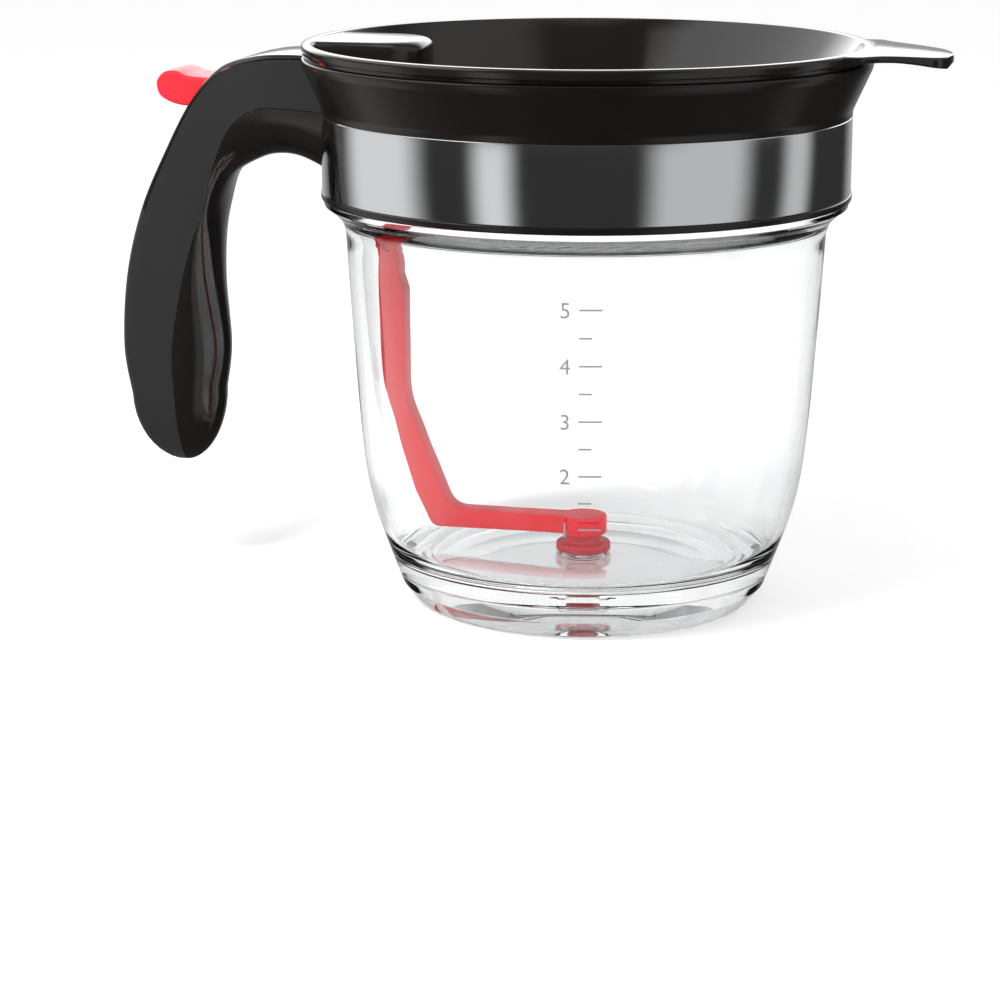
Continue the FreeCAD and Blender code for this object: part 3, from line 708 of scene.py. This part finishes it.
triggerLook = {"halfWidth": 9.0, "boss": 4.6, "bossHalf": 10.5, "pinHole": 1.55, "edge": 1.1,
               "prongAt": 5.55, "prongHalf": 1.25, "prongRise": 2.9, "nose": 3.2,
               "slot": 1.4, "slotTravel": 1}


def buildTrigger():
    look = triggerLook
    x0, z0 = pivotAt
    top, under, tip = z0 + 3.0, z0 - 6.6, x0 - 33.4
    padTop = splineThrough([(x0 - 14, top - 1.6), (x0 - 21, top - 1.6), (x0 - 25, top - 1.1),
                            (x0 - 28, top), (x0 - 31.2, top - 0.35), (x0 - 33.0, top - 2.2),
                            (tip, z0 - 0.8), (x0 - 32.6, z0 - 3.6), (x0 - 30, under + 1.2),
                            (x0 - 26.5, under + 0.2), (x0 - 22, under)], 4)
    outline = [(x0, z0 + 3.6)] + padTop + [(x0 - 17.9, under), (x0 - 14.9, z0 - 3.5), (x0, z0 - 3.5)]
    lever = plate("thumbTrigger", outline, -look["halfWidth"], look["halfWidth"], look["edge"],
                  segments=4)
    join(lever, bar("boss", look["boss"], (x0, -look["bossHalf"], z0), (x0, look["bossHalf"], z0), 48))
    length = math.dist(pivotAt, linkAt)
    slope = Vector((linkAt[0] - x0, linkAt[1] - z0)).normalized()
    lift = Vector((-slope.y, slope.x))

    def along(u, v):
        return tuple(Vector(pivotAt) + slope * u + lift * v)

    def arc(u, radius, start, end):
        turns = [math.radians(a) for a in range(start, end + 1, 15)]
        return [along(u + radius * math.cos(t), radius * math.sin(t)) for t in turns]

    nose = arc(length, look["nose"], -90, 90)
    bottom, rise = along(0, -look["prongRise"]), along(0, look["prongRise"])
    slotEnds = arc(length + look["slotTravel"], look["slot"], -90, 90)
    slotEnds += arc(length - look["slotTravel"], look["slot"], 90, 270)
    for side in (-1, 1):
        middle = side * look["prongAt"]
        prong = plate("prong", [bottom] + nose + [rise], middle - look["prongHalf"],
                      middle + look["prongHalf"], 0.3, segments=2)
        cut(prong, plate("slot", slotEnds, middle - 2, middle + 2))
        join(lever, prong)
    return cut(lever, bar("pinHole", look["pinHole"], (x0, -12, z0), (x0, 12, z0)))


dress(buildTrigger(), redPlastic, "trigger_lever", "red_plastic", "trigger", sharp=40)


def buildSpring():
    # round wire in even turns, with flat ends
    look = springLook
    steps, low, wire = 24, look["low"], look["wire"]
    rings = []
    for k in range(look["turns"] * steps + 1):
        t = 2 * math.pi * k / steps
        out = Vector((math.cos(t), math.sin(t), 0))
        height = low + (look["high"] - low) * k / (look["turns"] * steps)
        centre = Vector((look["at"], 0, height)) + out * look["radius"]
        rings.append([tuple(centre + out * (wire * math.cos(a)) + Vector((0, 0, wire * math.sin(a))))
                      for a in [2 * math.pi * j / 8 for j in range(8)]])
    return loft("returnSpring", rings)


spring = dress(buildSpring(), springSteel, "vessel", "spring_steel", "return_spring", sharp=60)
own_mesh(spring)
for kept, finish in (("trigger_pin", pinSteel), ("link_pin", pinSteel), ("handle_screws", pinSteel),
                     ("jar_seal", sealRubber), ("stopper_rivet", redPlastic)):
    slots = nodes[kept].material_slots
    for place in slots:
        place.material = finish
    print("kept:", kept, len(slots))
print("trigger done")


# lift arm and stopper

armLook = {"half": 3.5, "left": -59.1, "right": -52.7, "shoulder": 88.0, "bend": 58.0, "low": 17.5,
           "high": 22.5, "edge": 0.55}


def buildArm():
    look = armLook
    left, right = look["left"], look["right"]
    step = right + 1.6
    low, high, shoulder = look["low"], look["high"], look["shoulder"]
    column = softCorners([
        (left, 134.8), (left, shoulder, 6.0), (-57.9, look["bend"], 20.0), (-48.2, 27.5, 8.0),
        (-43.2, low, 4.0), (0, low), (0, high), (-37.8, high, 6.0), (step, 54.0, 20.0), (step, 84.0, 2.0),
        (right, shoulder, 2.0), (right, 134.8), (-52.4, 136.9), (-58.2, 136.9)], 0.4, 6)
    arm = plate("liftArm", column, -look["half"], look["half"], look["edge"])
    x, z = linkAt
    join(arm, bar("head", 4.2, (x, -look["half"], z), (x, look["half"], z), 48))
    hub = lathe("hub", softCorners([(0, low), (6.5, low, 0.4), (6.5, high, 0.7), (0, high)], 0.4), 64)
    join(arm, hub)
    for side in (-1, 1):
        near, far = (1.75, 4.5) if side > 0 else (-4.5, -1.75)
        cut(arm, plate("recess", softCorners([(left + 2, 95), (right - 2, 95), (right - 2, 116.4),
                                              (left + 2, 116.4)], 0.8), near, far))
    return cut(arm, bar("pinHole", 1.3, (x, -6, z), (x, 6, z)),
               bar("rivetHole", 2.0, (0, 0, 13), (0, 0, 21.5)))


dress(buildArm(), armRed, "valve", "red_plastic", "lift_arm", sharp=40)
stopperPiece = lathe("stopperSeal", softCorners([
    (2.0, 10.6, 0.1), (3.0, 10.6, 0.1), (3.0, 9.6, 0.2), (4.6, 9.6, 0.5), (4.6, 13.2, 0.2),
    (7.6, 13.2, 0.3), (7.6, 15.2, 0.9), (5.0, 15.2, 0.6), (5.0, 17.5, 0.2), (2.0, 17.5, 0.2)], 0.2), 96)
dress(stopperPiece, stopperRubber, "valve", "stopper_rubber", "stopper")
print("arm done")


# strainer lid

lidLook = {"seat": 149.9, "top": 153.7, "rim": 77.0, "step": 1.2, "beadLow": 151.0, "beadIn": 74.2,
           "neckHigh": 134.4, "neck": 62.6, "floorLow": 119.9, "floor": 53.5, "chamfer": 4.0,
           "wall": 2.0, "lip": 73.4, "lipInner": 71.4, "holeRadius": 1.5, "pitch": 6.4,
           "rings": 4}
tongueLook = {"inner": -44.0, "half": 16.0, "bend": 12.0, "top": 153.5, "thickness": 2.4, "round": 2.6}
tabLook = {"length": 21.2, "half": 24.0}


def channelOutline(inset):
    half = tongueLook["half"] - inset
    inner = tongueLook["inner"] - inset
    bend = min(tongueLook["bend"], half - 0.6)
    outline = [(-80.0, -half)]
    for a in range(-90, 91, 9):
        t = math.radians(a)
        outline.append((inner - bend + bend * math.cos(t),
                        (half - bend) * (1 if a > 0 else -1 if a < 0 else 0) + bend * math.sin(t)))
    outline.append((-80.0, half))
    return outline


def tongueBlock():
    look = tongueLook
    steps = 6
    rings = []
    levels = [(0.0, 119.0)] + [(look["round"] * (1 - math.cos(math.pi / 2 * k / steps)),
                                look["top"] - look["round"] * (1 - math.sin(math.pi / 2 * k / steps)))
                               for k in range(steps + 1)]
    for inset, z in levels:
        rings.append([(x, y, z) for x, y in channelOutline(inset)])
    return loft("tongue", rings)


def sieveHoles():
    look = lidLook
    work = bmesh.new()
    places = [(0, 0)]
    for number in range(1, look["rings"] + 1):
        for step in range(6 * number):
            turn = 2 * math.pi * step / (6 * number)
            out = number * look["pitch"]
            places.append((out * math.cos(turn), out * math.sin(turn)))
    radius = look["holeRadius"] / 1000
    for x, y in places:
        made = bmesh.ops.create_cone(work, cap_ends=True, segments=16, radius1=radius, radius2=radius,
                                     depth=0.008)
        bmesh.ops.translate(work, verts=made["verts"], vec=(x / 1000, y / 1000, 0.1209))
    mesh = bpy.data.meshes.new("holes")
    work.to_mesh(mesh)
    work.free()
    made = bpy.data.objects.new("holes", mesh)
    bpy.context.collection.objects.link(made)
    return made


def thumbTab():
    # wide rounded tab, thin at the rim, with a thicker lip that droops at the tip
    rings = []
    tip = lidLook["rim"] + tabLook["length"]
    for k in range(29):
        s = k / 28
        x = 69.0 + (tip - 69.0) * s
        free = max(0.0, (x - 77.0) / tabLook["length"])
        edge = math.sqrt(max(0.0, 1 - max(0.0, (free - 0.55) / 0.45) ** 2.4))
        width = (tabLook["half"] - 8.5 * min(1, free * 1.5) ** 0.8) * edge
        flare = 2.2 * max(0, 1 - free * 5)
        width = max(width + flare, 0.8)
        top = 153.5 - 1.3 * free ** 1.6
        thick = 1.8 + 1.5 * max(0, (free - 0.35) / 0.65) ** 1.5
        pinch = 1.0 if free < 0.97 else 0.55
        rings.append([(x, v * width, z) for v, z in tabRing(width, top, thick * pinch)])
    return loft("tab", rings)


def tabRing(width, top, thick):
    ring = []
    r = min(thick * 0.45, 0.8)
    rv = min(0.45, r / width)
    for k in range(5):
        t = math.pi / 2 * k / 4
        ring.append((1 - rv + rv * math.sin(t), top - r + r * math.cos(t)))
    for k in range(5):
        t = math.pi / 2 * k / 4
        ring.append((1 - rv + rv * math.cos(t), top - thick + r - r * math.sin(t)))
    return ring + [(-v, z) for v, z in ring[::-1]]


def buildLid():
    look = lidLook
    low = look["floorLow"]
    slopeR, slopeZ = look["floor"] + look["chamfer"], low + look["chamfer"]
    outer = [(look["lip"], look["seat"]), (look["neck"], look["neckHigh"]), (slopeR, slopeZ),
             (look["floor"], low), (0, low)]
    inner = [(look["lipInner"], look["seat"]), (look["neck"] - 2.0, look["neckHigh"] + 1.0),
             (slopeR - 2, slopeZ + 1), (look["floor"], low + 2), (0, low + 2)]
    radii = [0.3, 4.0, 5.0, 4.0, 0]
    outerRound = [(r, z, q) for (r, z), q in zip(outer, radii)]
    innerRound = [(r, z, q) for (r, z), q in zip(inner, [1.0, 3.0, 4.0, 3.0, 0])]
    stepIn = look["rim"] - look["step"]
    bead = [(stepIn, look["seat"], 0.2), (stepIn, look["beadLow"], 0.2),
            (look["rim"], look["beadLow"], 0.6), (look["rim"], look["top"], 1.1),
            (look["beadIn"], look["top"], 0.9)]
    shell = lathe("strainerLid", softCorners(outerRound[::-1] + bead + innerRound, 0.5, 5), 240)
    bowlLine = [(0, low)] + outer[::-1][1:] + [(look["lip"], look["top"]), (0, look["top"])]
    join(shell, common(tongueBlock(), lathe("bowlSpace", bowlLine, 240)))
    ceiling = tongueLook["top"] - tongueLook["thickness"]
    channel = plate("channel", channelOutline(look["wall"]), 110.0, ceiling, axis="z")
    cut(shell, channel, sieveHoles())
    tab = cut(thumbTab(), bar("inside", 75.6, (0, 0, 140), (0, 0, 160), 240))
    return join(shell, tab)


dress(buildLid(), glossBlack, "lid", "black_plastic", "strainer_lid", sharp=34)
print("lid done")


# studio

studioLook = {"floorSize": 8.0, "cameraPlace": (0.1575, -0.7863, 0.2278), "cameraTurn": 13.0,
              "cameraDown": 14.1156, "focal": 106.27, "fill": 0.75, "backGlow": 3.2,
              "sideGlow": 1.7, "insideJar": 1.7, "floorGlow": 0.25, "below": 0.06, "above": 1.3,
              "through": 0.45}


def floorPiece():
    size = studioLook["floorSize"]
    mesh = bpy.data.meshes.new("studioFloor")
    mesh.from_pydata([(-size, -size, 0), (size, -size, 0), (size, size, 0), (-size, size, 0)], [],
                     [(0, 1, 2, 3)])
    floor = bpy.data.objects.new("studioFloor", mesh)
    bpy.context.collection.objects.link(floor)
    material, make = newFinish("paleFloor")
    paper = make.noise(30, 3)
    pale = make.blend(paper, tint(0.93, 0.93, 0.93), tint(0.96, 0.96, 0.955))
    diffuse = make.node("BsdfDiffuse", None, {"Color": pale})
    seen = (make.node("LightPath", output="Is Camera Ray")
            + make.node("LightPath", output="Is Glossy Ray")
            + make.node("LightPath", output="Is Transmission Ray"))
    glow = make.node("Emission", None, {"Color": tint(1, 1, 1), "Strength": studioLook["floorGlow"]})
    none = make.node("Emission", None, {"Color": tint(0, 0, 0), "Strength": 0.0})
    lit = make.node("MixShader", None, {0: seen, 1: none, 2: glow})
    both = make.node("AddShader", None, {0: diffuse, 1: lit})
    make.node("OutputMaterial", None, {"Surface": both})
    mesh.materials.append(material)
    floor.visible_glossy = False


def grey(value):
    return (value, value, value, 1.0)


# strip lights round the object: angle from the camera's side, half width and soft edge
# in degrees, then brightness
stripLights = [(-100, 22, 20, 0.7), (-40, 8, 12, 0.7), (50, 22, 15, 0.5), (102, 8, 12, 0.5)]
# broad light above the rim
skyLights = [(75, 35, 30, 0.5)]


def worldLight():
    world = bpy.data.worlds.new("studioWorld")
    scene.world = world
    make = Finish(world)
    direction = make.node("TexCoord", output=0)
    camera = Vector(studioLook["cameraPlace"]).xy.normalized()
    ahead = make.node("VectorMath", {"operation": "DOT_PRODUCT"},
                      {0: direction, 1: (camera.x, camera.y, 0)}, 1)
    beside = make.node("VectorMath", {"operation": "DOT_PRODUCT"},
                       {0: direction, 1: (-camera.y, camera.x, 0)}, 1)
    height = make.node("VectorMath", {"operation": "DOT_PRODUCT"}, {0: direction, 1: (0, 0, 1)}, 1)
    turn = make.node("Math", {"operation": "ARCTAN2"}, {0: beside, 1: ahead}) / (2 * math.pi) + 0.5

    def smooth(value, low, high):
        return make.node("MapRange", {"interpolation_type": "SMOOTHSTEP"},
                         {0: value, 1: low, 2: high, 3: 0.0, 4: 1.0})

    def shine(lights, ground):
        # dark room with soft-edged lights
        total = ground
        for at, half, soft, bright in lights:
            start, end = [0.5 + angle / 360 for angle in (at - half, at + half)]
            edge = soft / 720
            rise = smooth(turn, start - edge, start + edge)
            fall = smooth(turn, end - edge, end + edge)
            total = rise * (1 - fall) * bright + total
        return total

    behind = smooth(0 - ahead, 0.8, 0.98)
    cards = make.blend(shine(stripLights, 0.03) + behind * 0.4, grey(0), grey(1))
    sky = make.blend(shine(skyLights, 0.05) + smooth(0 - ahead, 0.3, 0.9), grey(0), grey(1))

    upper = smooth(height, 0.0, 0.16)
    under = smooth(0 - height, 0.42, 0.7)
    backGlow = (smooth(0 - ahead, 0.55, 0.95) * smooth(height, 0.02, 0.14)
                * (1 - smooth(height, 0.5, 0.75)))
    sky = make.blend(backGlow, sky, grey(studioLook["backGlow"]))
    sideGlow = (smooth(turn, 0.07, 0.12) * (1 - smooth(turn, 0.365, 0.378)) * smooth(height, 0.3, 0.45)
                * (1 - smooth(height, 0.85, 0.93)))
    sky = make.blend(sideGlow, sky, grey(studioLook["sideGlow"]))
    glossy = make.blend(upper, cards, sky)
    glossy = make.blend(under, glossy, grey(studioLook["below"]))
    over = smooth(height, 0.93, 0.985)
    glossy = make.blend(over, glossy, grey(studioLook["above"]))
    steep = smooth(make.node("Math", {"operation": "ABSOLUTE"}, {0: height}), 0.45, 0.9)
    through = make.blend(steep, grey(1.0), grey(studioLook["through"]))
    bounced = make.node("Math", {"operation": "GREATER_THAN"},
                        {0: make.node("LightPath", output="Diffuse Depth"), 1: 0.5})
    through = make.blend(bounced, through, grey(studioLook["insideJar"]))
    isCamera = make.node("LightPath", output="Is Camera Ray")
    isGlossy = make.node("LightPath", output="Is Glossy Ray")
    isThrough = make.node("LightPath", output="Is Transmission Ray")
    colour = make.blend(isGlossy, grey(studioLook["fill"]), glossy)
    colour = make.blend(isThrough, colour, through)
    colour = make.blend(isCamera, colour, grey(1.0))
    shader = make.node("Background", None, {"Color": colour, "Strength": 1.0})
    make.node("OutputWorld", None, {"Surface": shader})


def softBox(name, place, target, size, power):
    lamp = bpy.data.lights.new(name, "AREA")
    lamp.shape = "RECTANGLE"
    lamp.size, lamp.size_y = size
    lamp.energy = power
    holder = bpy.data.objects.new(name, lamp)
    holder.location = place
    holder.rotation_euler = (Vector(target) - Vector(place)).to_track_quat("-Z", "Y").to_euler()
    holder.visible_glossy = False
    bpy.context.collection.objects.link(holder)
    return holder


def cameraPiece():
    look = studioLook
    view = bpy.data.cameras.new("photoCamera")
    view.sensor_width = 36.0
    view.lens = look["focal"]
    view.clip_start = 0.01
    view.clip_end = 50
    holder = bpy.data.objects.new("photoCamera", view)
    holder.location = look["cameraPlace"]
    holder.rotation_euler = (math.radians(90 - look["cameraDown"]), 0, math.radians(look["cameraTurn"]))
    bpy.context.collection.objects.link(holder)
    scene.camera = holder


floorPiece()
worldLight()
softBox("topLight", (-0.35, -0.45, 0.9), (-0.05, 0, 0.09), (0.45, 0.45), 4.5)
softBox("sideLight", (0.75, -0.25, 0.45), (0, 0, 0.08), (0.5, 0.7), 2.0)
softBox("handleLight", (-0.15, -0.16, 0.24), (-0.1, -0.015, 0.14), (0.06, 0.06), 0.45)
cameraPiece()
print("studio done")
